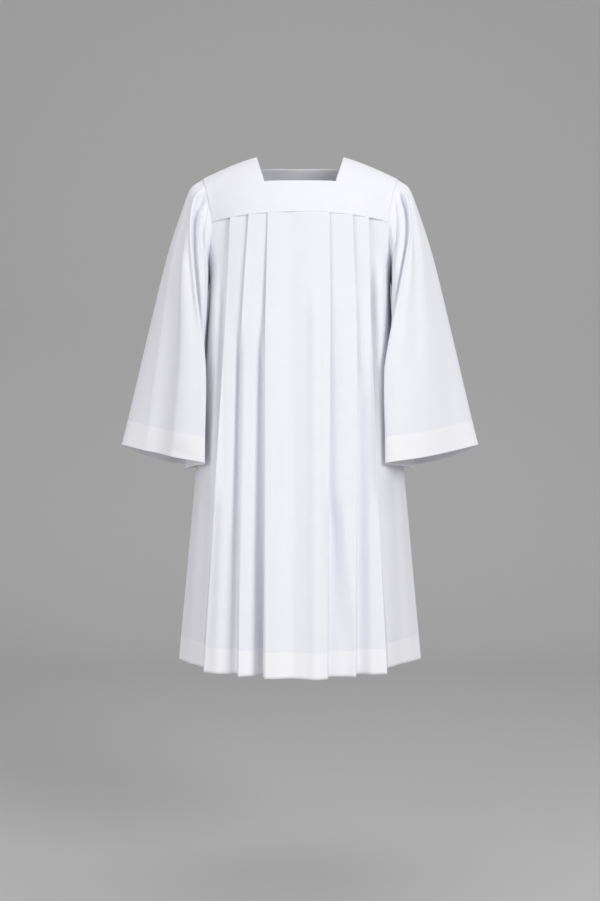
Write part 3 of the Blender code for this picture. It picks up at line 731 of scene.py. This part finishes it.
def woven_poly_cotton():
    """White plain-woven polyester-cotton, bleached and pressed: matt, with the faint sheen
    of its polyester, and a little whiter where it is doubled."""
    made = bpy.data.materials.new("woven polyester-cotton")
    made.use_nodes = True
    tree = made.node_tree
    tree.nodes.clear()
    thread = 0.0011         # real threads are 0.4 mm apart, drawn coarser so that they show
    uv = add(tree, "ShaderNodeUVMap", uv_map="cloth")
    place = add(tree, "ShaderNodeMapping", {"Vector": uv.outputs["UV"],
                                            "Scale": (math.tau / thread,) * 3})
    parts = add(tree, "ShaderNodeSeparateXYZ", {"Vector": place.outputs["Vector"]})
    warp = add(tree, "ShaderNodeMath", {0: parts.outputs["X"]}, operation="SINE")
    weft = add(tree, "ShaderNodeMath", {0: parts.outputs["Y"]}, operation="SINE")
    weave = add(tree, "ShaderNodeMath", {0: warp.outputs[0], 1: weft.outputs[0]},
                operation="MULTIPLY")
    where = add(tree, "ShaderNodeTexCoord")
    slub = add(tree, "ShaderNodeTexNoise", {"Vector": where.outputs["Object"], "Scale": 26.0,
                                            "Detail": 3.0, "Roughness": 0.55})
    crumple = add(tree, "ShaderNodeTexNoise", {"Vector": where.outputs["Object"], "Scale": 9.0,
                                               "Detail": 2.0, "Roughness": 0.5})
    layers = add(tree, "ShaderNodeAttribute", attribute_name="layers")
    share = add(tree, "ShaderNodeMapRange", {"Value": layers.outputs["Fac"], "From Min": 1.0,
                                             "From Max": 2.0})
    single = add(tree, "ShaderNodeMix", {"Factor": slub.outputs["Fac"],
                                         "A": linear("#ECECF3"), "B": linear("#F1F1F7")},
                 data_type="RGBA")
    white = add(tree, "ShaderNodeMix", {"Factor": share.outputs["Result"],
                                        "A": single.outputs["Result"], "B": linear("#F5F5F9")},
                data_type="RGBA")
    soft = add(tree, "ShaderNodeBump", {"Strength": 0.35, "Distance": 0.004,
                                        "Height": crumple.outputs["Fac"]})
    fine = add(tree, "ShaderNodeBump", {"Strength": 0.12, "Distance": 0.0002,
                                        "Height": weave.outputs[0], "Normal": soft.outputs["Normal"]})
    shader = add(tree, "ShaderNodeBsdfPrincipled", {
        "Base Color": white.outputs["Result"], "Roughness": 0.78, "IOR": 1.45,
        "Specular IOR Level": 0.25, "Sheen Weight": 0.12, "Sheen Roughness": 0.45,
        "Normal": fine.outputs["Normal"]})
    out = add(tree, "ShaderNodeOutputMaterial")
    tree.links.new(shader.outputs["BSDF"], out.inputs["Surface"])
    return made


def plain(name, code, roughness):
    made = bpy.data.materials.new(name)
    made.use_nodes = True
    shader = made.node_tree.nodes["Principled BSDF"]
    shader.inputs["Base Color"].default_value = linear(code)
    shader.inputs["Roughness"].default_value = roughness
    return made


# ---- garment ------------------------------------------------------------------------------------------
poly_cotton = woven_poly_cotton()
front = panel("front_panel_cloth", FRONT_LEFT, FRONT_RIGHT, FRONT_CREASES, False,
              ("front_panel", "front_hem"))
back = panel("back_panel_cloth", BACK_LEFT, BACK_RIGHT, BACK_CREASES, True,
             ("back_panel", "back_hem"))
front_yoke_places = yoke_places(FRONT_YOKE, False)
back_yoke_places = yoke_places(BACK_YOKE, True)
front_yoke = yoke("front_yoke", front_yoke_places)
back_yoke = yoke("back_yoke", back_yoke_places)
sleeve_left = sleeve("sleeve_left", -1, LEFT_FOLDS, "cuff_left")
sleeve_right = sleeve("sleeve_right", 1, RIGHT_FOLDS, "cuff_right")

# ---- stage, light and camera -----------------------------------------------------------------------
FLOOR_Z = -1.49
SWEEP_HALF = 9.0        # half the backdrop's width
SWEEP_FRONT = (-6.0, -2.0)
SWEEP_BACK = 2.6        # where the floor turns up into the backdrop
SWEEP_ROUND = 1.5       # radius of the turn
SWEEP_STEPS = 16
SWEEP_TOP = 5.0
stage_grey = plain("studio paper", "#C6C6C6", 0.95)
bm = bmesh.new()
line = [bm.verts.new((-SWEEP_HALF, y, FLOOR_Z)) for y in SWEEP_FRONT + (SWEEP_BACK,)]
for k in range(1, SWEEP_STEPS + 1):
    turn = k / SWEEP_STEPS * math.pi / 2
    line.append(bm.verts.new((-SWEEP_HALF, SWEEP_BACK + SWEEP_ROUND * math.sin(turn),
                              FLOOR_Z + SWEEP_ROUND * (1 - math.cos(turn)))))
line.append(bm.verts.new((-SWEEP_HALF, SWEEP_BACK + SWEEP_ROUND, SWEEP_TOP)))
edges = [bm.edges.new(pair) for pair in zip(line, line[1:])]
wide = bmesh.ops.extrude_edge_only(bm, edges=edges)["geom"]
bmesh.ops.translate(bm, verts=[v for v in wide if isinstance(v, bmesh.types.BMVert)],
                    vec=(2 * SWEEP_HALF, 0.0, 0.0))
bmesh.ops.recalc_face_normals(bm, faces=bm.faces)
mesh = bpy.data.meshes.new("studio_sweep")
bm.to_mesh(mesh)
bm.free()
mesh.shade_smooth()
sweep = bpy.data.objects.new("studio_sweep", mesh)
bpy.context.collection.objects.link(sweep)
mesh.materials.append(stage_grey)


def area_light(name, place, target, size, power):
    data = bpy.data.lights.new(name, "AREA")
    data.shape = "DISK"
    data.size = size
    data.energy = power
    lamp = bpy.data.objects.new(name, data)
    lamp.visible_camera = False
    lamp.location = place
    lamp.rotation_euler = (Vector(target) - Vector(place)).to_track_quat("-Z", "Y").to_euler()
    bpy.context.collection.objects.link(lamp)


# A main light from the front right, a wide weaker one from the left, and a soft one above
area_light("key", (2.0, -2.7, 0.75), (0.0, 0.0, -0.5), 1.5, 54)
area_light("fill", (-2.3, -2.6, 0.0), (0.0, 0.0, -0.6), 2.6, 31)
area_light("top", (0.3, 0.4, 2.6), (0.0, 0.2, -0.4), 2.2, 16)

world = bpy.data.worlds.new("studio")
world.use_nodes = True
world.node_tree.nodes["Background"].inputs["Color"].default_value = linear("#F5F4F6")
world.node_tree.nodes["Background"].inputs["Strength"].default_value = 0.55
bpy.context.scene.world = world
bpy.context.scene.view_settings.view_transform = "Standard"

camera = bpy.data.objects.new("camera", bpy.data.cameras.new("camera"))
camera.data.lens = 52.8
camera.data.sensor_width = 36.0
camera.location = (0.0, -2.73, -0.606)
camera.rotation_euler = (math.radians(90), 0.0, 0.0)
bpy.context.collection.objects.link(camera)
bpy.context.scene.camera = camera
